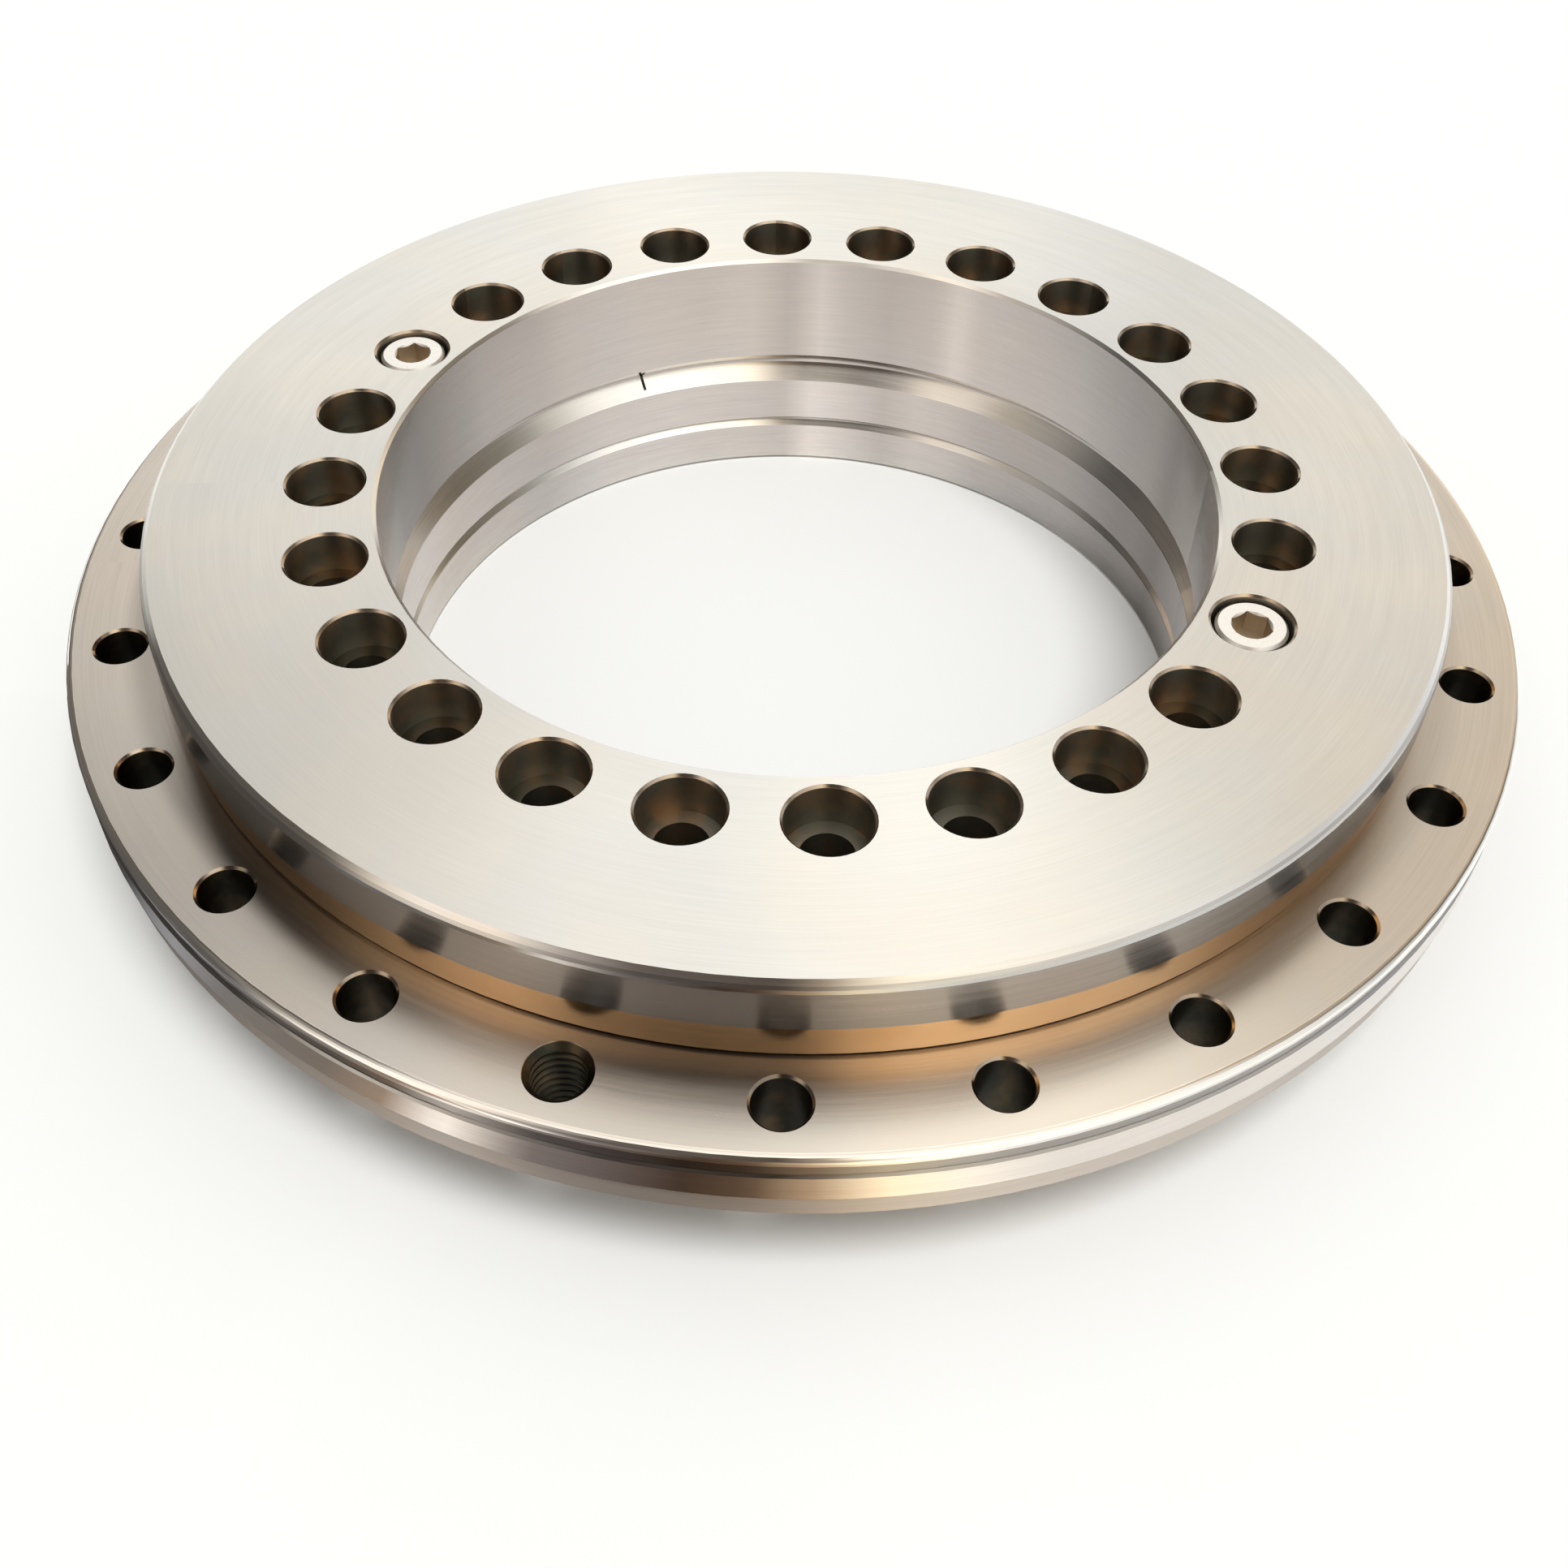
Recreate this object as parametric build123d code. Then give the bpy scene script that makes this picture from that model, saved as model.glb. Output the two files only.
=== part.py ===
from build123d import *
import math
import os

# Driving dimensions, in mm. The underside is at height 0 and +Z is the axis the bearing turns about.
BORE_RADIUS = 60.0
OUTER_RADIUS = 105.0
HEIGHT = 40.0
FLANGE_RADIUS = 92.0
FLANGE_THICKNESS = 8.1
OUTER_RING_BOTTOM = 14.0
OUTER_RING_TOP = 26.0
INNER_RACE_RADIUS = 75.0
OUTER_RACE_RADIUS = 81.0
RING_JOINT_HEIGHT = 8.6
SHOULDER_RADIUS = 74.6

# Edge breaks and reliefs on the rings.
BORE_EDGE = 0.5
FLANGE_EDGE = 1.1
FLANGE_EDGE_LAND = 0.5
FLANGE_EDGE_LAND_STEP = 0.15
SMALL_EDGE = 0.3
WASHER_BORE_CHAMFER = 1.5
GROOVE_CENTRE_HEIGHT = 19.1
GROOVE_DEPTH = 2.4
GROOVE_FLOOR = 0.4
RIM_ROUNDING = 1.0
RIM_ROUNDING_STEPS = 6
RIM_RELIEF_DEPTH = 0.3
RIM_RELIEF_TOP = 24.8
RIM_RELIEF_BOTTOM = 22.4
RIM_STEP_DEPTH = 0.45
RIM_STEP_HEIGHT = 18.1

# Lubrication slot in the bore groove, and the drilling from it out to the radial race.
LUBE_ANGLE = 112.5
LUBE_SLOT_WIDTH = 0.5
LUBE_SLOT_HEIGHT = 3.6
LUBE_SLOT_END = 64.0
LUBE_HOLE_RADIUS = 0.75

# Fixing holes: both circles have 24 places, and the outer ring's circle rests 4 degrees behind the inner one.
PLACES = 24
INNER_CIRCLE_RADIUS = 67.5
OUTER_CIRCLE_RADIUS = 97.5
OUTER_CIRCLE_TURN = -4.0
HOLE_RADIUS = 3.5
COUNTERBORE_RADIUS = 5.5
COUNTERBORE_DEPTH = 6.2
HOLE_EDGE = 0.35
SCREW_ANGLES = (150.0, 330.0)
TAPPED_ANGLES = (11.0, 131.0, 251.0)

# M8 extraction threads.
TAPPED_CORE_RADIUS = 3.36
TAPPED_MAJOR_RADIUS = 4.0
TAPPED_MOUTH_RADIUS = 4.2
TAPPED_PITCH = 1.25
TAPPED_ROOT_FLAT = TAPPED_PITCH / 8

# M6 retaining screws.
SCREW_RADIUS = 2.95
SCREW_HOLE_RADIUS = 3.0
SCREW_LENGTH = 30.0
SCREW_HEAD_RADIUS = 4.9
SCREW_HEAD_HEIGHT = 5.7
SCREW_HEAD_EDGE = 0.4
SCREW_TIP_CHAMFER = 0.6
SOCKET_ACROSS_FLATS = 5.0
SOCKET_DEPTH = 3.0
SOCKET_MOUTH_RADIUS = 2.8
SOCKET_MOUTH_DEPTH = 0.3

# Rolling elements and cages.
ROLLER_CLEARANCE = 0.1
AXIAL_ROLLERS = 48
AXIAL_ROLLER_LENGTH = 8.0
AXIAL_ROLLER_MIDDLE_RADIUS = 86.25
AXIAL_CAGE_INNER_RADIUS = 77.0
AXIAL_CAGE_OUTER_RADIUS = 91.3
AXIAL_CAGE_BOTTOM = 26.3
AXIAL_CAGE_TOP = 31.6
RADIAL_ROLLERS = 36
RADIAL_ROLLER_LENGTH = 7.6
RADIAL_CAGE_THICKNESS = 3.2
RADIAL_CAGE_BOTTOM = 14.7
RADIAL_CAGE_TOP = 25.3
ROLLER_EDGE = 0.3
POCKET_CLEARANCE = 0.15
CAGE_EDGE = 0.3

# Worked out from the dimensions above.
FLANGE_UNDERSIDE = HEIGHT - FLANGE_THICKNESS
COUNTERBORE_FLOOR = HEIGHT - COUNTERBORE_DEPTH
RING_MIDDLE_HEIGHT = (OUTER_RING_BOTTOM + OUTER_RING_TOP) / 2
AXIAL_ROLLER_RADIUS = (FLANGE_UNDERSIDE - OUTER_RING_TOP) / 2 - ROLLER_CLEARANCE
AXIAL_ROLLER_HEIGHT = (FLANGE_UNDERSIDE + OUTER_RING_TOP) / 2
RADIAL_PITCH_RADIUS = (INNER_RACE_RADIUS + OUTER_RACE_RADIUS) / 2
RADIAL_ROLLER_RADIUS = (OUTER_RACE_RADIUS - INNER_RACE_RADIUS) / 2 - ROLLER_CLEARANCE
OVERCUT = 1.0


def turned(outline):
    """Solid of revolution about Z from a closed outline of (radius, height) points."""
    return revolve(make_face(Plane.XZ * Polyline(*outline, close=True)), Axis.Z)


def mirrored(outline):
    """The same outline upside down about the bearing's middle plane."""
    return [(radius, HEIGHT - height) for radius, height in reversed(outline)]


def around(tool, radius, angles):
    """Copies of a tool that stands on the Z axis, one at each angle on a circle."""
    return [Rot(0, 0, angle) * Pos(radius, 0, 0) * tool for angle in angles]


def even_angles(count):
    return [index * 360 / count for index in range(count)]


def plain_hole(radius, bottom, top):
    """Cutting tool for a through hole with a small chamfer at both mouths."""
    wide = radius + HOLE_EDGE + OVERCUT
    return turned(
        [
            (0, bottom - OVERCUT),
            (wide, bottom - OVERCUT),
            (radius, bottom + HOLE_EDGE),
            (radius, top - HOLE_EDGE),
            (wide, top + OVERCUT),
            (0, top + OVERCUT),
        ]
    )


def counterbored_hole():
    """Cutting tool for a fixing hole of the upper ring: screw hole, flat seat and chamfered mouth."""
    wide = COUNTERBORE_RADIUS + HOLE_EDGE + OVERCUT
    return turned(
        [
            (0, RING_JOINT_HEIGHT - OVERCUT),
            (HOLE_RADIUS, RING_JOINT_HEIGHT - OVERCUT),
            (HOLE_RADIUS, COUNTERBORE_FLOOR),
            (COUNTERBORE_RADIUS, COUNTERBORE_FLOOR),
            (COUNTERBORE_RADIUS, HEIGHT - HOLE_EDGE),
            (wide, HEIGHT + OVERCUT),
            (0, HEIGHT + OVERCUT),
        ]
    )


def tapped_hole(bottom, top):
    """Cutting tool for a threaded through hole, with the thread as a row of ring grooves."""
    mouth = TAPPED_MOUTH_RADIUS - TAPPED_CORE_RADIUS
    flank = (TAPPED_MAJOR_RADIUS - TAPPED_CORE_RADIUS) * math.tan(math.radians(30))
    grooves = int((top - bottom - 2 * mouth) / TAPPED_PITCH)
    start = (bottom + top - grooves * TAPPED_PITCH) / 2
    spare = (TAPPED_PITCH - 2 * flank - TAPPED_ROOT_FLAT) / 2
    outline = [
        (0, bottom - OVERCUT),
        (TAPPED_MOUTH_RADIUS + OVERCUT, bottom - OVERCUT),
        (TAPPED_CORE_RADIUS, bottom + mouth),
    ]
    for index in range(grooves):
        foot = start + index * TAPPED_PITCH + spare
        outline += [
            (TAPPED_CORE_RADIUS, foot),
            (TAPPED_MAJOR_RADIUS, foot + flank),
            (TAPPED_MAJOR_RADIUS, foot + flank + TAPPED_ROOT_FLAT),
            (TAPPED_CORE_RADIUS, foot + 2 * flank + TAPPED_ROOT_FLAT),
        ]
    outline += [
        (TAPPED_CORE_RADIUS, top - mouth),
        (TAPPED_MOUTH_RADIUS + OVERCUT, top + OVERCUT),
        (0, top + OVERCUT),
    ]
    return turned(outline)


def lubrication_hole():
    """Cutting tool for the thin slot across the bore groove and the drilling from it to the race."""
    slot = Pos((BORE_RADIUS + LUBE_SLOT_END) / 2, 0, 0) * Box(
        LUBE_SLOT_END - BORE_RADIUS, LUBE_SLOT_WIDTH, LUBE_SLOT_HEIGHT
    )
    drilling = Pos(LUBE_SLOT_END - OVERCUT, 0, 0) * Rot(0, 90, 0) * Cylinder(
        LUBE_HOLE_RADIUS,
        INNER_RACE_RADIUS - LUBE_SLOT_END + 2 * OVERCUT,
        align=(Align.CENTER, Align.CENTER, Align.MIN),
    )
    return Pos(0, 0, GROOVE_CENTRE_HEIGHT) * Rot(0, 0, LUBE_ANGLE) * (slot + drilling)


def upper_ring():
    """Upper inner ring: the thrust flange and the hub that carries the radial race."""
    groove_low = GROOVE_CENTRE_HEIGHT - GROOVE_FLOOR / 2
    groove_high = GROOVE_CENTRE_HEIGHT + GROOVE_FLOOR / 2
    land_top = HEIGHT - FLANGE_EDGE + FLANGE_EDGE_LAND_STEP
    body = turned(
        [
            (BORE_RADIUS + SMALL_EDGE, RING_JOINT_HEIGHT),
            (BORE_RADIUS, RING_JOINT_HEIGHT + SMALL_EDGE),
            (BORE_RADIUS, groove_low - GROOVE_DEPTH),
            (BORE_RADIUS + GROOVE_DEPTH, groove_low),
            (BORE_RADIUS + GROOVE_DEPTH, groove_high),
            (BORE_RADIUS, groove_high + GROOVE_DEPTH),
            (BORE_RADIUS, HEIGHT - BORE_EDGE),
            (BORE_RADIUS + BORE_EDGE, HEIGHT),
            (FLANGE_RADIUS - FLANGE_EDGE, HEIGHT),
            (FLANGE_RADIUS - FLANGE_EDGE_LAND_STEP, land_top),
            (FLANGE_RADIUS, land_top - FLANGE_EDGE_LAND),
            (FLANGE_RADIUS, FLANGE_UNDERSIDE + SMALL_EDGE),
            (FLANGE_RADIUS - SMALL_EDGE, FLANGE_UNDERSIDE),
            (INNER_RACE_RADIUS, FLANGE_UNDERSIDE),
            (INNER_RACE_RADIUS, RING_JOINT_HEIGHT + SMALL_EDGE),
            (INNER_RACE_RADIUS - SMALL_EDGE, RING_JOINT_HEIGHT),
        ]
    )
    holes = around(counterbored_hole(), INNER_CIRCLE_RADIUS, even_angles(PLACES))
    return body - holes - lubrication_hole()


def lower_ring():
    """Lower inner ring: the bottom thrust flange, clamped to the upper ring's hub."""
    body = turned(
        [
            (BORE_RADIUS + BORE_EDGE, 0),
            (BORE_RADIUS, BORE_EDGE),
            (BORE_RADIUS, RING_JOINT_HEIGHT - WASHER_BORE_CHAMFER),
            (BORE_RADIUS + WASHER_BORE_CHAMFER, RING_JOINT_HEIGHT),
            (SHOULDER_RADIUS, RING_JOINT_HEIGHT),
            (SHOULDER_RADIUS, FLANGE_THICKNESS),
            (FLANGE_RADIUS - SMALL_EDGE, FLANGE_THICKNESS),
            (FLANGE_RADIUS, FLANGE_THICKNESS - SMALL_EDGE),
            (FLANGE_RADIUS, FLANGE_EDGE),
            (FLANGE_RADIUS - FLANGE_EDGE, 0),
        ]
    )
    free_angles = [angle for angle in even_angles(PLACES) if angle not in SCREW_ANGLES]
    fixing = around(plain_hole(HOLE_RADIUS, 0, RING_JOINT_HEIGHT), INNER_CIRCLE_RADIUS, free_angles)
    tapped = around(plain_hole(SCREW_HOLE_RADIUS, 0, RING_JOINT_HEIGHT), INNER_CIRCLE_RADIUS, SCREW_ANGLES)
    return body - fixing - tapped


def rim_rounding():
    """Outline points of the rounded upper edge of the outer ring's rim, from the rim up to the face."""
    steps = [math.radians(90 * index / RIM_ROUNDING_STEPS) for index in range(RIM_ROUNDING_STEPS + 1)]
    centre_radius = OUTER_RADIUS - RIM_ROUNDING
    centre_height = OUTER_RING_TOP - RIM_ROUNDING
    return [
        (centre_radius + RIM_ROUNDING * math.cos(step), centre_height + RIM_ROUNDING * math.sin(step))
        for step in steps
    ]


def outer_ring():
    """Outer ring: thrust races on both faces, radial race in its bore, fixing and extraction holes."""
    relief_radius = OUTER_RADIUS - RIM_RELIEF_DEPTH
    step_radius = OUTER_RADIUS - RIM_STEP_DEPTH
    body = turned(
        [
            *reversed(rim_rounding()),
            (OUTER_RADIUS, RIM_RELIEF_TOP),
            (relief_radius, RIM_RELIEF_TOP - RIM_RELIEF_DEPTH),
            (relief_radius, RIM_RELIEF_BOTTOM + RIM_RELIEF_DEPTH),
            (OUTER_RADIUS, RIM_RELIEF_BOTTOM),
            (OUTER_RADIUS, RIM_STEP_HEIGHT),
            (step_radius, RIM_STEP_HEIGHT),
            (step_radius, OUTER_RING_BOTTOM + SMALL_EDGE),
            (step_radius - SMALL_EDGE, OUTER_RING_BOTTOM),
            (OUTER_RACE_RADIUS + SMALL_EDGE, OUTER_RING_BOTTOM),
            (OUTER_RACE_RADIUS, OUTER_RING_BOTTOM + SMALL_EDGE),
            (OUTER_RACE_RADIUS, OUTER_RING_TOP - SMALL_EDGE),
            (OUTER_RACE_RADIUS + SMALL_EDGE, OUTER_RING_TOP),
        ]
    )
    plain_angles = [
        angle + OUTER_CIRCLE_TURN
        for angle in even_angles(PLACES)
        if angle + OUTER_CIRCLE_TURN not in TAPPED_ANGLES
    ]
    plain = around(plain_hole(HOLE_RADIUS, OUTER_RING_BOTTOM, OUTER_RING_TOP), OUTER_CIRCLE_RADIUS, plain_angles)
    tapped = around(tapped_hole(OUTER_RING_BOTTOM, OUTER_RING_TOP), OUTER_CIRCLE_RADIUS, TAPPED_ANGLES)
    return body - plain - tapped


def retaining_screw(angle):
    """Socket-head screw through the upper ring into the lower one."""
    tip = COUNTERBORE_FLOOR - SCREW_LENGTH
    head_top = COUNTERBORE_FLOOR + SCREW_HEAD_HEIGHT
    body = turned(
        [
            (0, tip),
            (SCREW_RADIUS - SCREW_TIP_CHAMFER, tip),
            (SCREW_RADIUS, tip + SCREW_TIP_CHAMFER),
            (SCREW_RADIUS, COUNTERBORE_FLOOR),
            (SCREW_HEAD_RADIUS, COUNTERBORE_FLOOR),
            (SCREW_HEAD_RADIUS, head_top - SCREW_HEAD_EDGE),
            (SCREW_HEAD_RADIUS - SCREW_HEAD_EDGE, head_top),
            (0, head_top),
        ]
    )
    hexagon = RegularPolygon(SOCKET_ACROSS_FLATS / 2, 6, major_radius=False)
    socket = Pos(0, 0, head_top - SOCKET_DEPTH) * extrude(hexagon, SOCKET_DEPTH + OVERCUT)
    mouth = turned(
        [
            (0, head_top - SOCKET_MOUTH_DEPTH),
            (SOCKET_ACROSS_FLATS / 2, head_top - SOCKET_MOUTH_DEPTH),
            (SOCKET_MOUTH_RADIUS, head_top),
            (SOCKET_MOUTH_RADIUS, head_top + OVERCUT),
            (0, head_top + OVERCUT),
        ]
    )
    return Rot(0, 0, angle) * Pos(INNER_CIRCLE_RADIUS, 0, 0) * (body - socket - mouth)


def roller(radius, length):
    """Cylindrical roller standing on the Z axis, centred on the origin, with broken edges."""
    return turned(
        [
            (0, -length / 2),
            (radius - ROLLER_EDGE, -length / 2),
            (radius, ROLLER_EDGE - length / 2),
            (radius, length / 2 - ROLLER_EDGE),
            (radius - ROLLER_EDGE, length / 2),
            (0, length / 2),
        ]
    )


def axial_rollers(height):
    """One thrust row: rollers lying along the radius."""
    lying = Pos(AXIAL_ROLLER_MIDDLE_RADIUS, 0, height) * Rot(0, 90, 0) * roller(
        AXIAL_ROLLER_RADIUS, AXIAL_ROLLER_LENGTH
    )
    return Compound([Rot(0, 0, angle) * lying for angle in even_angles(AXIAL_ROLLERS)])


def axial_cage(outline):
    """Flat thrust cage with one radial pocket for each roller."""
    pocket = Box(
        AXIAL_ROLLER_LENGTH + 2 * POCKET_CLEARANCE, 2 * (AXIAL_ROLLER_RADIUS + POCKET_CLEARANCE), 2 * HEIGHT
    )
    pockets = around(pocket, AXIAL_ROLLER_MIDDLE_RADIUS, even_angles(AXIAL_ROLLERS))
    return turned(outline) - pockets


def axial_cage_outline():
    return [
        (AXIAL_CAGE_INNER_RADIUS, AXIAL_CAGE_BOTTOM),
        (AXIAL_CAGE_INNER_RADIUS, AXIAL_CAGE_TOP),
        (AXIAL_CAGE_OUTER_RADIUS - CAGE_EDGE, AXIAL_CAGE_TOP),
        (AXIAL_CAGE_OUTER_RADIUS, AXIAL_CAGE_TOP - CAGE_EDGE),
        (AXIAL_CAGE_OUTER_RADIUS, AXIAL_CAGE_BOTTOM + CAGE_EDGE),
        (AXIAL_CAGE_OUTER_RADIUS - CAGE_EDGE, AXIAL_CAGE_BOTTOM),
    ]


def radial_cage():
    """Sleeve cage of the radial row, with one window for each roller."""
    inner = RADIAL_PITCH_RADIUS - RADIAL_CAGE_THICKNESS / 2
    outer = RADIAL_PITCH_RADIUS + RADIAL_CAGE_THICKNESS / 2
    sleeve = turned(
        [
            (inner, RADIAL_CAGE_BOTTOM),
            (outer, RADIAL_CAGE_BOTTOM),
            (outer, RADIAL_CAGE_TOP),
            (inner, RADIAL_CAGE_TOP),
        ]
    )
    window = Pos(0, 0, RING_MIDDLE_HEIGHT) * Box(
        2 * RADIAL_CAGE_THICKNESS,
        2 * (RADIAL_ROLLER_RADIUS + POCKET_CLEARANCE),
        RADIAL_ROLLER_LENGTH + 2 * POCKET_CLEARANCE,
    )
    return sleeve - around(window, RADIAL_PITCH_RADIUS, even_angles(RADIAL_ROLLERS))


nodes = {
    "upper_ring": upper_ring(),
    "lower_ring": lower_ring(),
    "outer_ring": outer_ring(),
    "upper_axial_cage": axial_cage(axial_cage_outline()),
    "lower_axial_cage": axial_cage(mirrored(axial_cage_outline())),
    "upper_axial_rollers": axial_rollers(AXIAL_ROLLER_HEIGHT),
    "lower_axial_rollers": axial_rollers(HEIGHT - AXIAL_ROLLER_HEIGHT),
    "radial_cage": radial_cage(),
}
for number, angle in enumerate(SCREW_ANGLES, 1):
    nodes[f"retaining_screw_{number}"] = retaining_screw(angle)
standing_roller = Pos(RADIAL_PITCH_RADIUS, 0, RING_MIDDLE_HEIGHT) * roller(
    RADIAL_ROLLER_RADIUS, RADIAL_ROLLER_LENGTH
)
for number, angle in enumerate(even_angles(RADIAL_ROLLERS), 1):
    nodes[f"radial_roller_{number:02d}"] = Rot(0, 0, angle) * standing_roller

os.makedirs("parts", exist_ok=True)
for name, shape in nodes.items():
    export_step(shape, f"parts/{name}.step")
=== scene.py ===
import math

import bpy
from mathutils import Matrix, Vector


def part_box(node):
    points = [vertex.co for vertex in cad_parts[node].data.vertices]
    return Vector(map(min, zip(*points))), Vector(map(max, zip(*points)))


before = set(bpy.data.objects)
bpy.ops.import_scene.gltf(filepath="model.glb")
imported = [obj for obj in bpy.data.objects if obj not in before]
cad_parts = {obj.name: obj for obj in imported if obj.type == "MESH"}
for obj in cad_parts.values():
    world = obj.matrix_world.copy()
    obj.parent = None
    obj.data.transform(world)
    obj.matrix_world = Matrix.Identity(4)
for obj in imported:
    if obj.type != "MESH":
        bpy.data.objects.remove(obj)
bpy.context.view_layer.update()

# Places on the bearing, in metres.
MM = 0.001
CIRCLE_PLACES = 24
TAPPED_PLACES = 3
INNER_CIRCLE_RADIUS = 67.5 * MM
OUTER_CIRCLE_RADIUS = 97.5 * MM
OUTER_CIRCLE_TURN = math.radians(-4)
TAPPED_TURN = math.radians(11)
COUNTERBORE_RADIUS = 5.5 * MM
COUNTERBORE_FLOOR = 33.8 * MM
HOLE_RADIUS = 3.5 * MM
TAPPED_RADIUS = 4.1 * MM
BORE_WALL = 60.02 * MM
GROOVE_FLOOR_RADIUS = 62.5 * MM
GROOVE_TOP = 21.6 * MM
# Where the painted shade beside the flange is full, and where it has faded out on the outer ring's face.
FLANGE_SIDE_SHADE_START = 94 * MM
FLANGE_SIDE_SHADE_END = 98 * MM
FLANGE_WALL = 91.5 * MM
RIM_START = 103.9 * MM
RELIEF_TOP = 24.8 * MM
RELIEF_BOTTOM = 22.4 * MM
RIM_STEP_HEIGHT = 18.1 * MM
SOCKET_RADIUS = 3.0 * MM
MASK_EDGE = 0.05 * MM
MOUTH_WIDTH = 0.5 * MM

# Camera, as the photograph was taken.
CAMERA_PLACE = Vector((-14.786, -206.740, 191.838)) * MM
CAMERA_TARGET = Vector((-2.462, -23.269, 0.0)) * MM
CAMERA_ROLL = math.radians(1.53)
CAMERA_LENS = 40.324

# Machining lines: how closely they run across the metal, and how often they change round the axis.
FINE_LINES = (3600, 6)
BROAD_LINES = (650, 3)
BRASS_LINES = (3600, 5)
BROAD_SHARE = 0.45
LINE_DEPTH = 0.02 * MM

# A noise texture mostly keeps between these.
NOISE_LOW = 0.3
NOISE_HIGH = 0.7

# Ground steel. Each ring's face has a colour of its own. Each ring's holes have two dark colours of painted
# shade, stained into each other.
INNER_FACE = (0.71, 0.69, 0.655, 1)
INNER_FACE_ROUGHNESS = 0.34
INNER_HOLE_PAINTED_SHADE = ((0.25, 0.24, 0.2, 1), (0.4, 0.29, 0.19, 1))
OUTER_FACE = (0.6, 0.55, 0.495, 1)
OUTER_FACE_ROUGHNESS = 0.24
OUTER_HOLE_PAINTED_SHADE = ((0.04, 0.04, 0.03, 1), (0.09, 0.07, 0.045, 1))
EDGE_STEEL = (0.86, 0.83, 0.79, 1)
EDGE_ROUGHNESS = 0.14
WALL_STEEL = (0.66, 0.615, 0.58, 1)
WALL_ROUGHNESS = 0.24
MOUTH_STEEL = (0.5, 0.41, 0.32, 1)
HOLE_ROUGHNESS = 0.38
COOL_TINT = (0.975, 1.0, 1.03)
WARM_TINT = (1.01, 1.0, 0.985)

# Bands on the rings. A tone multiplies the steel's colour and is painted light: below 1 painted shade, above
# 1 a painted highlight. A roughness is added to the steel's own.
FLANGE_PAINTED_SHADE = 0.7
GROOVE_PAINTED_SHADE = 0.85
GROOVE_DARKEST = 0.8
RELIEF_PAINTED_SHADE = 0.5
LAND_PAINTED_HIGHLIGHT = 1.22
LAND_ROUGHNESS = -0.1
STEP_PAINTED_SHADE = 0.85
STEP_ROUGHNESS = 0.42

# The other surfaces: two colours that run into each other, and the range of the roughness.
BRASS_COLOURS = ((0.84, 0.52, 0.27, 1), (1.0, 0.69, 0.4, 1))
BRASS_ROUGHNESS = (0.12, 0.2)
ROLLER_COLOURS = ((0.66, 0.66, 0.65, 1), (0.78, 0.77, 0.75, 1))
ROLLER_ROUGHNESS = (0.1, 0.18)
SCREW_COLOURS = ((0.8, 0.78, 0.75, 1), (0.92, 0.91, 0.89, 1))
SCREW_ROUGHNESS = (0.36, 0.5)
SOCKET_COLOUR = (0.62, 0.53, 0.42, 1)
FLOOR_COLOURS = ((0.915, 0.92, 0.9, 1), (0.93, 0.935, 0.915, 1))
FLOOR_ROUGHNESS = 0.8
FLOOR_SPECULAR = 0.1

# Key light.
KEY_STRENGTH = 1.85
KEY_ANGLE = math.radians(26)
KEY_DIRECTION = Vector((0.15, -0.3, 1.0))

# Surroundings, as linear colours. FILL lights matt surfaces, BACKDROP is what the camera sees, and only
# reflections see the rest. The ring goes round the horizon, by direction in degrees from +X.
FILL = (0.55, 0.55, 0.545, 1)
BACKDROP = (0.94, 0.94, 0.92, 1)
OVERHEAD = (1.25, 1.2, 1.12, 1)
REAR_HIGH = (2.15, 2.13, 1.98, 1)
REAR_LEFT = (1.5, 1.46, 1.38, 1)
FRONT_GAP = (0.6, 0.54, 0.46, 1)
RIGHT_LOW = (0.75, 0.75, 0.76, 1)
DARK_SIDE = (0.1, 0.09, 0.08, 1)
RING = (
    (-180, (0.42, 0.39, 0.35, 1)),
    (-163, (0.62, 0.56, 0.48, 1)),
    (-152, (1.1, 1.0, 0.88, 1)),
    (-140, (1.1, 0.97, 0.83, 1)),
    (-129, (0.42, 0.38, 0.35, 1)),
    (-118, (0.12, 0.1, 0.09, 1)),
    (-94, (0.09, 0.07, 0.055, 1)),
    (-87, (0.4, 0.32, 0.24, 1)),
    (-81, (1.1, 0.96, 0.76, 1)),
    (-75, (1.5, 1.38, 1.14, 1)),
    (-60, (1.4, 1.34, 1.2, 1)),
    (-40, (1.28, 1.24, 1.17, 1)),
    (-20, (1.1, 1.06, 1.0, 1)),
    (-8, (0.75, 0.72, 0.66, 1)),
    (4, (0.3, 0.27, 0.22, 1)),
    (20, (0.22, 0.19, 0.15, 1)),
    (34, (0.35, 0.29, 0.22, 1)),
    (50, (0.98, 0.84, 0.66, 1)),
    (58, (1.0, 0.89, 0.73, 1)),
    (66, (1.0, 0.98, 0.94, 1)),
    (78, (1.15, 1.13, 1.07, 1)),
    (91, (1.42, 1.4, 1.35, 1)),
    (96, (1.12, 1.1, 1.05, 1)),
    (112, (1.02, 0.99, 0.94, 1)),
    (118, (0.66, 0.63, 0.57, 1)),
    (127, (0.18, 0.16, 0.14, 1)),
    (163, (0.12, 0.11, 0.1, 1)),
    (180, (0.42, 0.39, 0.35, 1)),
)

# Patches over the ring. Each has its middle, half width and edge by direction, then the elevation where it
# begins and the one where it is full, all in degrees, and its colour.
PATCHES = (
    (8, 24, 10, 24, 14, RIGHT_LOW),
    (178, 12, 12, 36, 24, DARK_SIDE),
    (103, 7, 8, 36, 43, REAR_LEFT),
    (125, 8, 5, 41, 47, DARK_SIDE),
    (74, 8, 9, 43, 51, REAR_HIGH),
    (-90, 80, 20, 56, 61, OVERHEAD),
    (-106, 10, 8, 56, 61, FRONT_GAP),
    (0, 180, 1, 61, 66, OVERHEAD),
)

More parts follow.
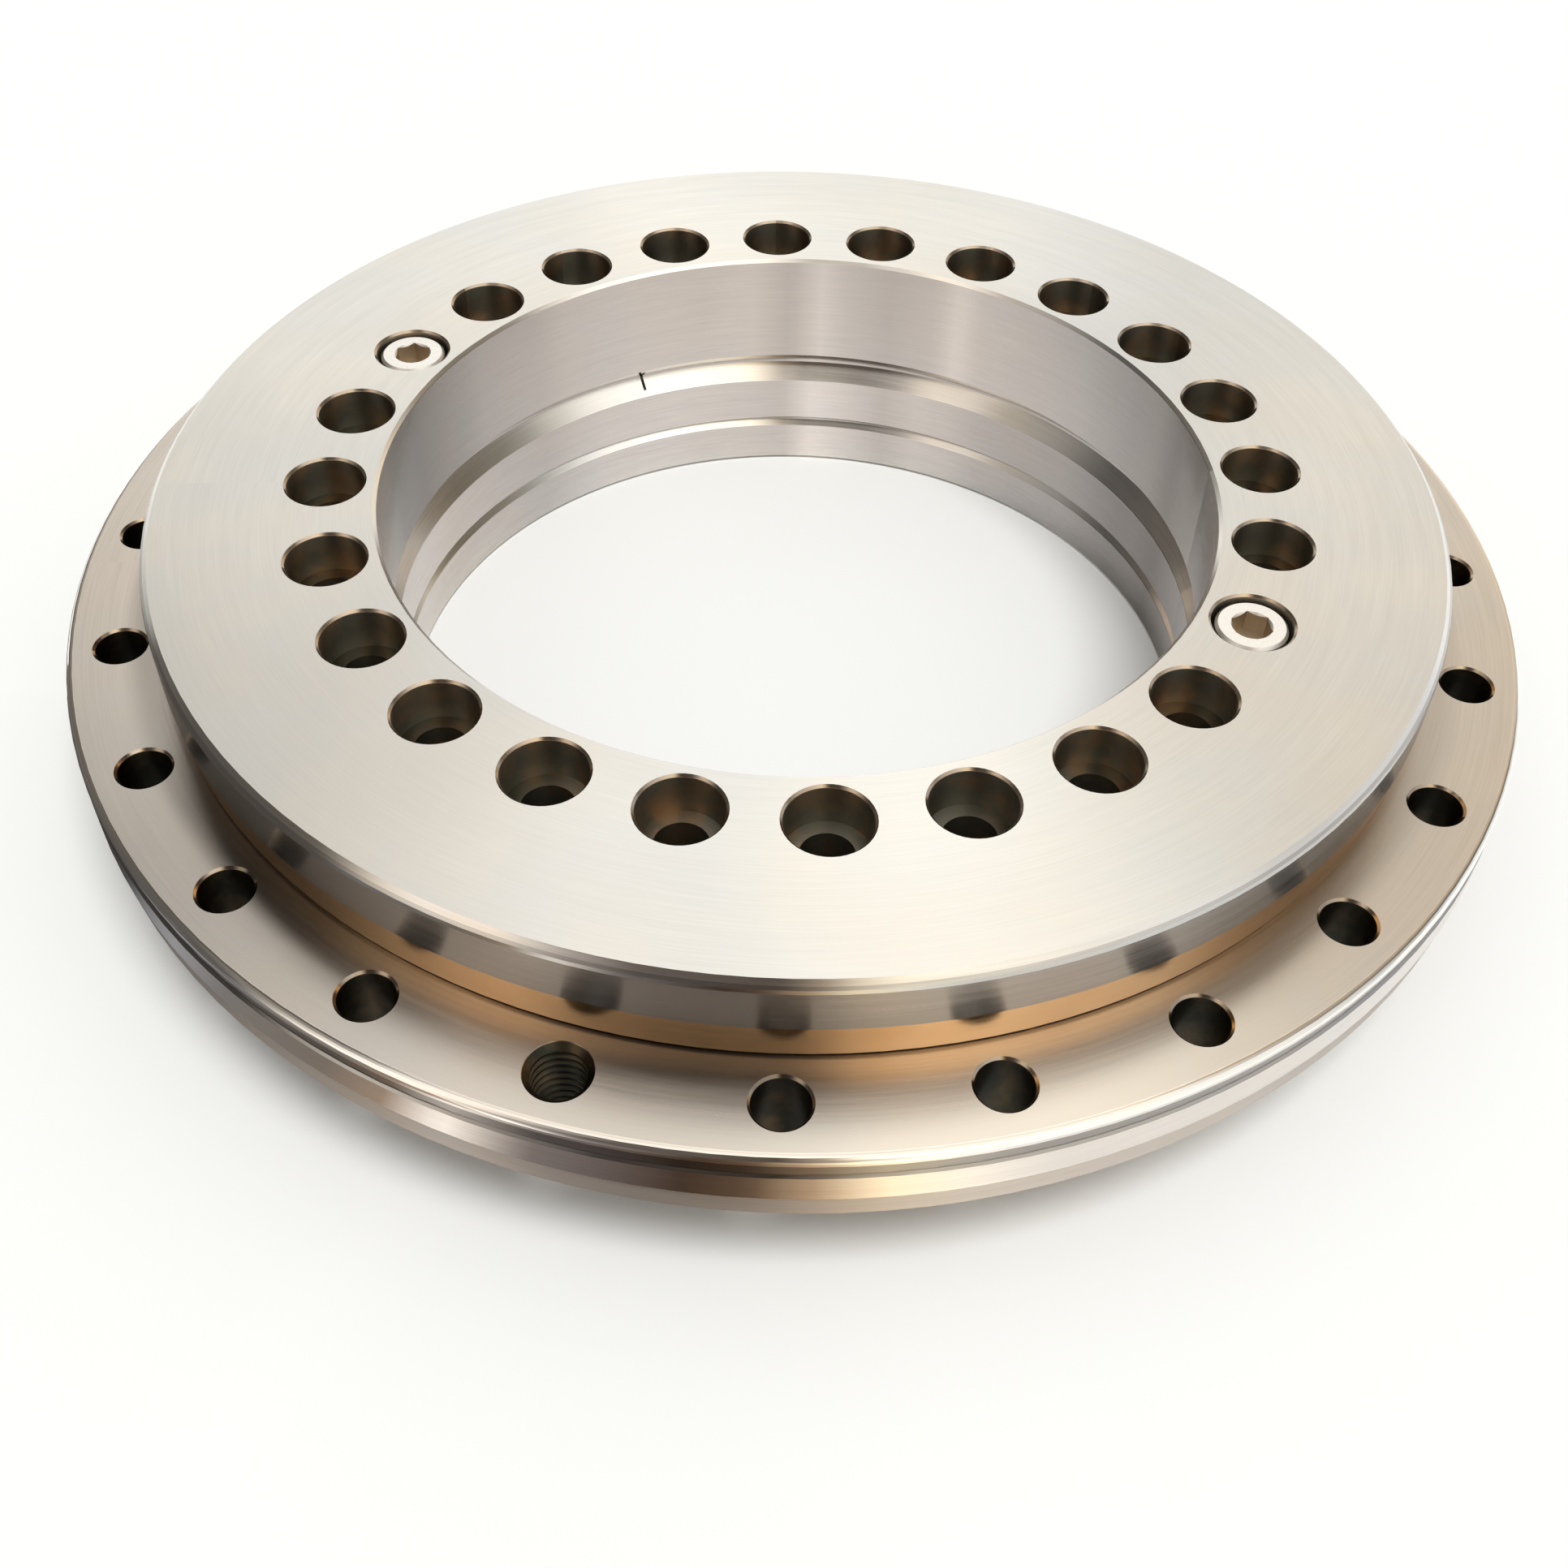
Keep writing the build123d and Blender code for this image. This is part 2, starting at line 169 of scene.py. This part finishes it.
# The front right sector of the ring is dimmer below the first elevation and brighter above the second.
FRONT_RIGHT = (-42, 36, 12)
FRONT_RIGHT_ELEVATIONS = (38, 46)
FRONT_RIGHT_LEVELS = (0.78, 1.15)

# Extents of the floor and of the cards, in metres: left, right, front and back.
FLOOR_EXTENT = (-3.0, 3.0, -3.0, 3.0)
RIM_CARD_EXTENT = (-0.6, 0.06, -0.6, 0.06)
LEFT_CARD_EXTENT = (-2.8, -0.08, -1.6, 1.3)
BORE_CARD_EXTENT = (-60 * MM, 60 * MM, -60 * MM, 60 * MM)

# Cards are shapes that only reflections show, one above the other just over the floor. A sector has its
# middle, half width and edge by direction, in degrees.
RIM_CARD_HEIGHT = 0.3 * MM
LEFT_CARD_HEIGHT = 0.6 * MM
BORE_CARD_HEIGHT = 0.9 * MM
RIM_CARD_SECTOR = (-130, 45, 14)
RIM_CARD_START = 104 * MM
RIM_CARD_FULL = 106 * MM
LEFT_CARD_SECTOR = (-177, 27, 8)
LEFT_CARD_START = 122 * MM
LEFT_CARD_FULL = 145 * MM
BORE_CARD_RADIUS = 55 * MM
BORE_CARD_EDGE = 4 * MM
BORE_CARD_COLOUR = (0.88, 0.85, 0.82, 1)

# What the rim sees of the floor close in front of it, by direction in degrees from +X.
RIM_CARD_COLOURS = (
    (-180, (0.12, 0.1, 0.09, 1)),
    (-161, (0.05, 0.045, 0.04, 1)),
    (-157, (0.08, 0.08, 0.08, 1)),
    (-154, (0.22, 0.22, 0.23, 1)),
    (-149, (0.34, 0.34, 0.35, 1)),
    (-142, (0.22, 0.21, 0.2, 1)),
    (-131, (0.22, 0.19, 0.16, 1)),
    (-125, (0.4, 0.3, 0.22, 1)),
    (-120, (1.3, 1.22, 1.12, 1)),
    (-116, (0.6, 0.55, 0.5, 1)),
    (-113, (0.24, 0.21, 0.2, 1)),
    (-107, (0.16, 0.13, 0.12, 1)),
    (-101, (0.07, 0.045, 0.03, 1)),
    (-96, (0.14, 0.09, 0.055, 1)),
    (-91, (0.6, 0.43, 0.27, 1)),
    (-86, (1.4, 1.2, 0.85, 1)),
    (-78, (1.4, 1.35, 1.2, 1)),
)

# How light the bore's wall is, by direction in degrees from +X: above the top of its groove, then below it.
# These bands are painted reflections of the room and painted shade, and they stay on the metal from every
# side.
BORE_PAINTED_REFLECTIONS = (
    (-180, 0.6), (-160, 0.85), (-20, 0.85), (0, 0.5), (12, 0.37), (18, 0.55), (24, 0.62), (30, 0.72),
    (36, 0.82), (48, 0.92), (56, 1.0), (60, 1.22), (64, 0.96), (72, 0.86), (79, 1.0), (83, 1.18),
    (88, 0.87), (94, 1.06), (102, 1.0), (114, 1.06), (126, 1.0), (132, 0.86), (138, 0.8), (144, 0.75),
    (150, 0.6), (156, 0.48), (162, 0.38), (170, 0.38), (180, 0.6),
)
BORE_LOW_PAINTED_REFLECTIONS = (
    (-180, 0.95), (-160, 0.9), (-20, 0.85), (0, 0.4), (12, 0.26), (18, 0.36), (24, 0.4), (30, 0.5),
    (36, 0.62), (48, 0.72), (54, 0.8), (60, 0.95), (66, 1.02), (72, 0.9), (78, 1.12), (84, 1.35),
    (89, 0.97), (96, 1.08), (108, 1.12), (120, 1.08), (126, 0.97), (132, 0.85), (138, 0.85), (156, 0.93),
    (168, 1.05), (180, 0.95),
)

# How light the outer ring's face is beside the flange, by direction in degrees from +X. It is painted shade
# and painted reflections of the flange and the room, and it turns with the ring.
FLANGE_SIDE_PAINTED_SHADE = (
    (-180, 0.6), (-163, 0.7), (-157, 0.75), (-148, 0.5), (-139, 0.42), (-131, 0.5), (-123, 0.8), (-116, 0.85),
    (-109, 0.55), (-100, 0.42), (-94, 0.5), (-89, 0.75), (-82, 0.95), (-70, 0.82), (-50, 0.8), (-25, 0.85),
    (0, 0.9), (180, 0.6),
)


class Graph:
    """Short helpers for building a node graph."""

    def __init__(self, tree):
        self.tree = tree

    def node(self, kind, **settings):
        made = self.tree.nodes.new(kind)
        for key, value in settings.items():
            setattr(made, key, value)
        return made

    def join(self, value, socket):
        """Links a socket, or sets a plain number or colour."""
        if isinstance(value, bpy.types.NodeSocket):
            self.tree.links.new(value, socket)
        else:
            socket.default_value = value

    def math(self, operation, first, second=0.0, third=0.0):
        made = self.node("ShaderNodeMath", operation=operation)
        for index, value in enumerate((first, second, third)):
            self.join(value, made.inputs[index])
        return made.outputs[0]

    def ramp(self, value, low, high, to_low=0.0, to_high=1.0, smooth=False):
        """Maps value from low..high to to_low..to_high, clamped."""
        made = self.node("ShaderNodeMapRange", interpolation_type="SMOOTHSTEP" if smooth else "LINEAR")
        for index, item in enumerate((value, low, high, to_low, to_high)):
            self.join(item, made.inputs[index])
        return made.outputs[0]

    def spread(self, noise, to_low=0.0, to_high=1.0):
        """Maps the range that a noise mostly keeps to onto to_low..to_high."""
        return self.ramp(noise, NOISE_LOW, NOISE_HIGH, to_low, to_high)

    def product(self, first, second):
        """Two numbers multiplied."""
        return self.math("MULTIPLY", first, second)

    def mix(self, factor, first, second):
        """Colour between first and second."""
        made = self.node("ShaderNodeMix", data_type="RGBA")
        self.join(factor, made.inputs["Factor"])
        self.join(first, made.inputs[6])
        self.join(second, made.inputs[7])
        return made.outputs[2]

    def blend(self, factor, first, second):
        """Number between first and second."""
        made = self.node("ShaderNodeMix", data_type="FLOAT")
        self.join(factor, made.inputs[0])
        self.join(first, made.inputs[2])
        self.join(second, made.inputs[3])
        return made.outputs[0]

    def scaled(self, colour, factor):
        """Colour multiplied by a number."""
        made = self.node("ShaderNodeVectorMath", operation="SCALE")
        self.join(colour, made.inputs[0])
        self.join(factor, made.inputs["Scale"])
        return made.outputs[0]

    def times(self, colour, tint):
        """Colour multiplied by a tint, channel by channel."""
        made = self.node("ShaderNodeVectorMath", operation="MULTIPLY")
        self.join(colour, made.inputs[0])
        self.join(tint, made.inputs[1])
        return made.outputs[0]

    def vector(self, x, y, z):
        made = self.node("ShaderNodeCombineXYZ")
        for index, value in enumerate((x, y, z)):
            self.join(value, made.inputs[index])
        return made.outputs[0]

    def stops(self, angle, colours):
        """Colour by direction, from a list of directions in degrees and their colours."""
        made = self.node("ShaderNodeValToRGB")
        self.join(self.ramp(angle, -math.pi, math.pi), made.inputs["Fac"])
        elements = made.color_ramp.elements
        while len(elements) < len(colours):
            elements.new(1.0)
        for element, (direction, colour) in zip(elements, colours):
            element.position = (direction + 180) / 360
            element.color = colour
        return made.outputs["Color"]

    def tones(self, angle, levels):
        """Grey level by direction, from a list of directions in degrees and their levels."""
        return self.stops(angle, [(direction, (level, level, level, 1)) for direction, level in levels])

    def parts(self, vector):
        made = self.node("ShaderNodeSeparateXYZ")
        self.join(vector, made.inputs[0])
        return made.outputs

    def length(self, x, y):
        squares = self.math("ADD", self.product(x, x), self.product(y, y))
        return self.math("SQRT", squares)

    def noise(self, vector, scale, detail=2.0, roughness=0.5):
        made = self.node("ShaderNodeTexNoise")
        self.join(vector, made.inputs["Vector"])
        made.inputs["Scale"].default_value = scale
        made.inputs["Detail"].default_value = detail
        made.inputs["Roughness"].default_value = roughness
        return made.outputs["Fac"]

    def bump(self, height, strength, distance):
        made = self.node("ShaderNodeBump")
        made.inputs["Strength"].default_value = strength
        made.inputs["Distance"].default_value = distance
        self.join(height, made.inputs["Height"])
        return made.outputs["Normal"]

    def around_axis(self):
        """Cylindrical coordinates about the bearing's axis: place, radius, angle and height."""
        place = self.node("ShaderNodeTexCoord").outputs["Object"]
        x, y, z = self.parts(place)
        return place, self.length(x, y), self.math("ARCTAN2", y, x), z

    def facing_up(self):
        """Size of the surface normal's part along the axis: 1 on flat faces, 0 on walls."""
        parts = self.parts(self.node("ShaderNodeTexCoord").outputs["Normal"])
        return self.math("ABSOLUTE", parts[2])

    def hole_distance(self, radius, angle, circle, turn, places):
        """Distance from the nearest hole centre of a circle of evenly spaced holes."""
        pitch = 2 * math.pi / places
        offset = self.math("WRAP", self.math("SUBTRACT", angle, turn), pitch / 2, -pitch / 2)
        along = self.product(radius, self.math("COSINE", offset))
        across = self.product(radius, self.math("SINE", offset))
        return self.length(self.math("SUBTRACT", along, circle), across)

    def within(self, value, limit, edge):
        """1 where value is below limit, 0 beyond limit + edge."""
        return self.ramp(value, self.math("ADD", limit, edge), limit)

    def between(self, z, start, end):
        """0 at elevation start and 1 at elevation end, in degrees. z is the height of a unit direction."""
        return self.ramp(z, math.sin(math.radians(start)), math.sin(math.radians(end)), smooth=True)

    def sector(self, angle, middle, half, edge):
        """1 inside a sector of directions, fading to 0 over its edge. Angles are in degrees."""
        away = self.math("WRAP", self.math("SUBTRACT", angle, math.radians(middle)), math.pi, -math.pi)
        away = self.math("ABSOLUTE", away)
        return self.ramp(away, math.radians(half + edge), math.radians(half), smooth=True)


def material_graph(name):
    """New material, its graph and its main shader."""
    material = bpy.data.materials.new(name)
    material.use_nodes = True
    return material, Graph(material.node_tree), material.node_tree.nodes["Principled BSDF"]


def lathe_lines(graph, radius, angle, height, scale, stretch):
    """Fine lines that run round the axis, as turning and grinding leave them."""
    turned = graph.vector(
        graph.product(radius, scale),
        graph.product(angle, stretch),
        graph.product(height, scale),
    )
    return graph.noise(turned, 1.0, 3.0, 0.6)


def turned_grain(graph, shader):
    """Gloss drawn out across lines that run round the axis."""
    shader.inputs["Anisotropic"].default_value = 0.8
    shader.inputs["Anisotropic Rotation"].default_value = 0.25
    tangent = graph.node("ShaderNodeTangent", direction_type="RADIAL", axis="Z")
    graph.join(tangent.outputs[0], shader.inputs["Tangent"])


def ground_steel(name, face_colour, face_roughness, inside_of, hole_shade_colours, bands_of):
    """Ground bearing steel with lines round the axis.

    inside_of makes the mask of the drilled holes, which have darker colours of painted shade, stained into
    each other. bands_of makes the tone, which is painted shade and painted highlights, and the added
    roughness of the bands on the ring's walls and face.
    """
    material, graph, shader = material_graph(name)
    place, radius, angle, height = graph.around_axis()
    up = graph.facing_up()
    flat = graph.ramp(up, 0.85, 0.97)
    wall = graph.ramp(up, 0.3, 0.1)
    fine = lathe_lines(graph, radius, angle, height, *FINE_LINES)
    broad = lathe_lines(graph, radius, angle, height, *BROAD_LINES)
    lines = graph.blend(BROAD_SHARE, fine, broad)
    patches = graph.noise(place, 22, 3, 0.5)
    tone = graph.product(graph.spread(lines, 0.92, 1.07), graph.spread(patches, 0.95, 1.04))
    roughness = graph.blend(flat, graph.blend(wall, EDGE_ROUGHNESS, WALL_ROUGHNESS), face_roughness)
    roughness = graph.math("ADD", roughness, graph.spread(lines, -0.03, 0.04))
    # The bands' tones are painted shade and painted highlights.
    band_tone, band_roughness = bands_of(graph, radius, angle, height)
    tone = graph.product(tone, band_tone)
    roughness = graph.math("ADD", roughness, band_roughness)
    steel = graph.mix(flat, graph.mix(wall, EDGE_STEEL, WALL_STEEL), face_colour)
    inside = inside_of(graph, radius, angle, height)
    mouth = graph.product(inside_of(graph, radius, angle, height, MOUTH_WIDTH), graph.ramp(up, 0.95, 0.85))
    steel = graph.mix(mouth, steel, MOUTH_STEEL)
    stain = graph.ramp(graph.noise(place, 190, 3, 0.6), 0.45, 0.65)
    warm = graph.ramp(graph.noise(place, 28, 3, 0.6), 0.4, 0.62)
    steel = graph.mix(warm, graph.times(steel, COOL_TINT), graph.times(steel, WARM_TINT))
    # The holes' two colours are painted shade.
    colour = graph.mix(inside, graph.scaled(steel, tone), graph.mix(stain, *hole_shade_colours))
    graph.join(colour, shader.inputs["Base Color"])
    graph.join(graph.blend(inside, roughness, HOLE_ROUGHNESS), shader.inputs["Roughness"])
    shader.inputs["Metallic"].default_value = 1.0
    turned_grain(graph, shader)
    graph.join(graph.bump(graph.product(lines, flat), 0.05, LINE_DEPTH), shader.inputs["Normal"])
    return material


def fixing_holes(graph, radius, angle, height, margin=0.0):
    """Mask of the inner circle's holes: wide above the counterbores' floor, narrow below it."""
    away = graph.hole_distance(radius, angle, INNER_CIRCLE_RADIUS, 0.0, CIRCLE_PLACES)
    high = graph.ramp(height, COUNTERBORE_FLOOR - 2 * MASK_EDGE, COUNTERBORE_FLOOR - MASK_EDGE)
    return graph.within(away, graph.blend(high, HOLE_RADIUS + margin, COUNTERBORE_RADIUS + margin), MASK_EDGE)


def outer_holes(graph, radius, angle, height, margin=0.0):
    """Mask of the outer circle's plain and threaded holes."""
    away = graph.hole_distance(radius, angle, OUTER_CIRCLE_RADIUS, OUTER_CIRCLE_TURN, CIRCLE_PLACES)
    tapped = graph.hole_distance(radius, angle, OUTER_CIRCLE_RADIUS, TAPPED_TURN, TAPPED_PLACES)
    return graph.math(
        "MAXIMUM",
        graph.within(away, HOLE_RADIUS + margin, MASK_EDGE),
        graph.within(tapped, TAPPED_RADIUS + margin, MASK_EDGE),
    )


def rim_bands(graph, radius, angle, height):
    """Painted shade beside the flange, and the rim: a relief and a matt step with painted shade, and a
    polished land with a painted highlight.
    """
    rim = graph.ramp(radius, RIM_START, RIM_START + MASK_EDGE)
    above = graph.ramp(height, RELIEF_BOTTOM - MASK_EDGE, RELIEF_BOTTOM)
    below = graph.ramp(height, RELIEF_TOP + MASK_EDGE, RELIEF_TOP)
    relief = graph.product(rim, graph.product(above, below))
    step = graph.product(rim, graph.ramp(height, RIM_STEP_HEIGHT, RIM_STEP_HEIGHT - MASK_EDGE))
    # Painted shade and painted reflections beside the flange, fading out across the face.
    flange_side_shade = graph.tones(angle, FLANGE_SIDE_PAINTED_SHADE)
    face = graph.blend(graph.ramp(radius, FLANGE_SIDE_SHADE_START, FLANGE_SIDE_SHADE_END, smooth=True), flange_side_shade, 1.0)
    # Painted shade on the relief and the step, and a painted highlight on the land.
    tone = graph.blend(relief, graph.blend(rim, face, LAND_PAINTED_HIGHLIGHT), RELIEF_PAINTED_SHADE)
    tone = graph.product(tone, graph.blend(step, 1.0, STEP_PAINTED_SHADE))
    roughness = graph.blend(step, graph.blend(rim, 0.0, LAND_ROUGHNESS), STEP_ROUGHNESS)
    return tone, roughness


def ring_walls(graph, radius, angle, height):
    """The flange's wall has painted shade, and the bore's wall and groove have bands of painted reflections
    and painted shade along them.
    """
    flange = graph.ramp(radius, FLANGE_WALL - MASK_EDGE, FLANGE_WALL)
    wall = graph.within(radius, BORE_WALL, MASK_EDGE)
    low = graph.within(height, GROOVE_TOP, MASK_EDGE)
    groove = graph.product(graph.within(radius, GROOVE_FLOOR_RADIUS, MASK_EDGE), low)
    # Painted reflections and painted shade along the bore's wall.
    bands = graph.blend(low, graph.tones(angle, BORE_PAINTED_REFLECTIONS), graph.tones(angle, BORE_LOW_PAINTED_REFLECTIONS))
    # The groove gets more painted shade, but its tone never falls below the darkest level.
    groove_bands = graph.math("MAXIMUM", graph.product(bands, GROOVE_PAINTED_SHADE), GROOVE_DARKEST)
    bands = graph.blend(wall, groove_bands, bands)
    # The flange's wall gets painted shade.
    tone = graph.blend(graph.math("MAXIMUM", wall, groove), graph.blend(flange, 1.0, FLANGE_PAINTED_SHADE), bands)
    return tone, 0.0


def machined_brass():
    """Turned brass of the cages."""
    material, graph, shader = material_graph("machined_brass")
    place, radius, angle, height = graph.around_axis()
    lines = lathe_lines(graph, radius, angle, height, *BRASS_LINES)
    patches = graph.noise(place, 45, 4, 0.6)
    colour = graph.mix(graph.spread(patches), *BRASS_COLOURS)
    graph.join(colour, shader.inputs["Base Color"])
    graph.join(graph.spread(lines, *BRASS_ROUGHNESS), shader.inputs["Roughness"])
    shader.inputs["Metallic"].default_value = 1.0
    turned_grain(graph, shader)
    graph.join(graph.bump(lines, 0.03, LINE_DEPTH), shader.inputs["Normal"])
    return material


def polished_steel():
    """Honed steel of the rollers."""
    material, graph, shader = material_graph("polished_steel")
    place = graph.node("ShaderNodeTexCoord").outputs["Object"]
    lines = graph.noise(place, 900, 2, 0.5)
    colour = graph.mix(lines, *ROLLER_COLOURS)
    graph.join(colour, shader.inputs["Base Color"])
    graph.join(graph.spread(lines, *ROLLER_ROUGHNESS), shader.inputs["Roughness"])
    shader.inputs["Metallic"].default_value = 1.0
    return material


def screw_steel(name, centre):
    """Bright, slightly grainy steel of a screw, with a browner socket.

    centre is the middle of the top of its head.
    """
    material, graph, shader = material_graph(name)
    place = graph.node("ShaderNodeTexCoord").outputs["Object"]
    away = graph.node("ShaderNodeVectorMath", operation="SUBTRACT")
    graph.join(place, away.inputs[0])
    away.inputs[1].default_value = centre
    x, y, z = graph.parts(away.outputs[0])
    radius = graph.length(x, y)
    grain = graph.noise(place, 2600, 3, 0.6)
    below = graph.ramp(z, -0.1 * MM, -0.3 * MM)
    inside = graph.product(below, graph.within(radius, SOCKET_RADIUS, 2 * MASK_EDGE))
    colour = graph.mix(graph.spread(grain), *SCREW_COLOURS)
    graph.join(graph.mix(inside, colour, SOCKET_COLOUR), shader.inputs["Base Color"])
    graph.join(graph.spread(grain, *SCREW_ROUGHNESS), shader.inputs["Roughness"])
    shader.inputs["Metallic"].default_value = 1.0
    return material


def pale_floor():
    """Matt floor with faint patches."""
    material, graph, shader = material_graph("pale_floor")
    place = graph.node("ShaderNodeTexCoord").outputs["Object"]
    patches = graph.noise(place, 3, 2)
    colour = graph.mix(patches, *FLOOR_COLOURS)
    graph.join(colour, shader.inputs["Base Color"])
    shader.inputs["Roughness"].default_value = FLOOR_ROUGHNESS
    shader.inputs["Specular IOR Level"].default_value = FLOOR_SPECULAR
    return material


def dress(node, material):
    """Gives a CAD node one material."""
    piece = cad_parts[node]
    piece.data.materials.clear()
    piece.data.materials.append(material)


def make_camera():
    camera = bpy.data.objects.new("camera", bpy.data.cameras.new("camera"))
    bpy.context.scene.collection.objects.link(camera)
    camera.data.lens = CAMERA_LENS
    camera.data.clip_start = 0.01
    back = (CAMERA_PLACE - CAMERA_TARGET).normalized()
    level = Vector((0, 0, 1)).cross(back).normalized()
    up = back.cross(level)
    right = level * math.cos(CAMERA_ROLL) + up * math.sin(CAMERA_ROLL)
    rows = Matrix((right, back.cross(right), back))
    camera.matrix_world = Matrix.Translation(CAMERA_PLACE) @ rows.transposed().to_4x4()
    bpy.context.scene.camera = camera


def make_world():
    """Studio surroundings: light walls and boxes with dark gaps round the horizon, and a light ceiling."""
    world = bpy.data.worlds.new("studio")
    bpy.context.scene.world = world
    world.use_nodes = True
    graph = Graph(world.node_tree)
    x, y, z = graph.parts(graph.node("ShaderNodeTexCoord").outputs["Generated"])
    angle = graph.math("ARCTAN2", y, x)
    colour = graph.stops(angle, RING)
    front_right_level = graph.blend(graph.between(z, *FRONT_RIGHT_ELEVATIONS), *FRONT_RIGHT_LEVELS)
    colour = graph.scaled(colour, graph.blend(graph.sector(angle, *FRONT_RIGHT), 1.0, front_right_level))
    for middle, half, edge, start, full, patch in PATCHES:
        cover = graph.product(graph.sector(angle, middle, half, edge), graph.between(z, start, full))
        colour = graph.mix(cover, colour, patch)
    rays = graph.node("ShaderNodeLightPath").outputs
    colour = graph.mix(rays["Is Diffuse Ray"], colour, FILL)
    colour = graph.mix(rays["Is Camera Ray"], colour, BACKDROP)
    graph.join(colour, world.node_tree.nodes["Background"].inputs["Color"])


def overhead_key():
    """Large soft key light, nearly overhead. Reflections don't show it."""
    light = bpy.data.lights.new("key", "SUN")
    light.energy = KEY_STRENGTH
    light.angle = KEY_ANGLE
    lamp = bpy.data.objects.new("key", light)
    bpy.context.scene.collection.objects.link(lamp)
    lamp.rotation_euler = KEY_DIRECTION.to_track_quat("Z", "Y").to_euler()
    lamp.visible_glossy = False


def rectangle(left, right, front, back):
    """Corners of a rectangle, counterclockwise from above."""
    return ((left, front), (right, front), (right, back), (left, back))


def flat_sheet(name, corners, height, material):
    """Flat piece of the stage, which isn't part of the bearing."""
    mesh = bpy.data.meshes.new(name)
    mesh.from_pydata([(x, y, height) for x, y in corners], [], [tuple(range(len(corners)))])
    sheet = bpy.data.objects.new(name, mesh)
    bpy.context.scene.collection.objects.link(sheet)
    mesh.materials.append(material)
    return sheet


def reflection_card(name, corners, height, cover, colour, graph, material):
    """Soft-edged shape just above the floor that only reflections show."""
    graph.tree.nodes.remove(graph.tree.nodes["Principled BSDF"])
    glow = graph.node("ShaderNodeEmission")
    graph.join(colour, glow.inputs["Color"])
    clear = graph.node("ShaderNodeBsdfTransparent")
    both = graph.node("ShaderNodeMixShader")
    graph.join(cover, both.inputs[0])
    graph.join(clear.outputs[0], both.inputs[1])
    graph.join(glow.outputs[0], both.inputs[2])
    graph.join(both.outputs[0], graph.tree.nodes["Material Output"].inputs["Surface"])
    card = flat_sheet(name, corners, height, material)
    card.visible_camera = False
    card.visible_diffuse = False
    card.visible_shadow = False
    card.visible_transmission = False


def rim_card():
    """What the rim mirrors of the floor in front of it."""
    material, graph, shader = material_graph("rim_card")
    place, radius, angle, height = graph.around_axis()
    near = graph.ramp(radius, RIM_CARD_START, RIM_CARD_FULL)
    cover = graph.product(graph.sector(angle, *RIM_CARD_SECTOR), near)
    colour = graph.stops(angle, RIM_CARD_COLOURS)
    corners = rectangle(*RIM_CARD_EXTENT)
    reflection_card("rim_card", corners, RIM_CARD_HEIGHT, cover, colour, graph, material)


def left_card():
    """The dark side of the room, mirrored far out on the floor."""
    material, graph, shader = material_graph("left_card")
    place, radius, angle, height = graph.around_axis()
    far = graph.ramp(radius, LEFT_CARD_START, LEFT_CARD_FULL)
    cover = graph.product(graph.sector(angle, *LEFT_CARD_SECTOR), far)
    corners = rectangle(*LEFT_CARD_EXTENT)
    reflection_card("left_card", corners, LEFT_CARD_HEIGHT, cover, DARK_SIDE, graph, material)


def bore_card():
    """A shade darker floor inside the bore."""
    material, graph, shader = material_graph("bore_card")
    place, radius, angle, height = graph.around_axis()
    cover = graph.within(radius, BORE_CARD_RADIUS, BORE_CARD_EDGE)
    corners = rectangle(*BORE_CARD_EXTENT)
    reflection_card("bore_card", corners, BORE_CARD_HEIGHT, cover, BORE_CARD_COLOUR, graph, material)


inner_steel = ground_steel(
    "inner_ring_steel", INNER_FACE, INNER_FACE_ROUGHNESS, fixing_holes, INNER_HOLE_PAINTED_SHADE, ring_walls
)
outer_steel = ground_steel(
    "outer_ring_steel", OUTER_FACE, OUTER_FACE_ROUGHNESS, outer_holes, OUTER_HOLE_PAINTED_SHADE, rim_bands
)
brass = machined_brass()
roller_steel = polished_steel()
dress("upper_ring", inner_steel)
dress("lower_ring", inner_steel)
dress("outer_ring", outer_steel)
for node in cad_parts:
    if node.endswith("cage"):
        dress(node, brass)
    elif "roller" in node:
        dress(node, roller_steel)
    elif node.startswith("retaining_screw"):
        low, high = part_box(node)
        head_centre = ((low[0] + high[0]) / 2, (low[1] + high[1]) / 2, high[2])
        dress(node, screw_steel(node + "_steel", head_centre))

make_camera()
make_world()
flat_sheet("floor", rectangle(*FLOOR_EXTENT), 0.0, pale_floor())
rim_card()
left_card()
bore_card()
overhead_key()
bpy.context.scene.view_settings.view_transform = "Standard"
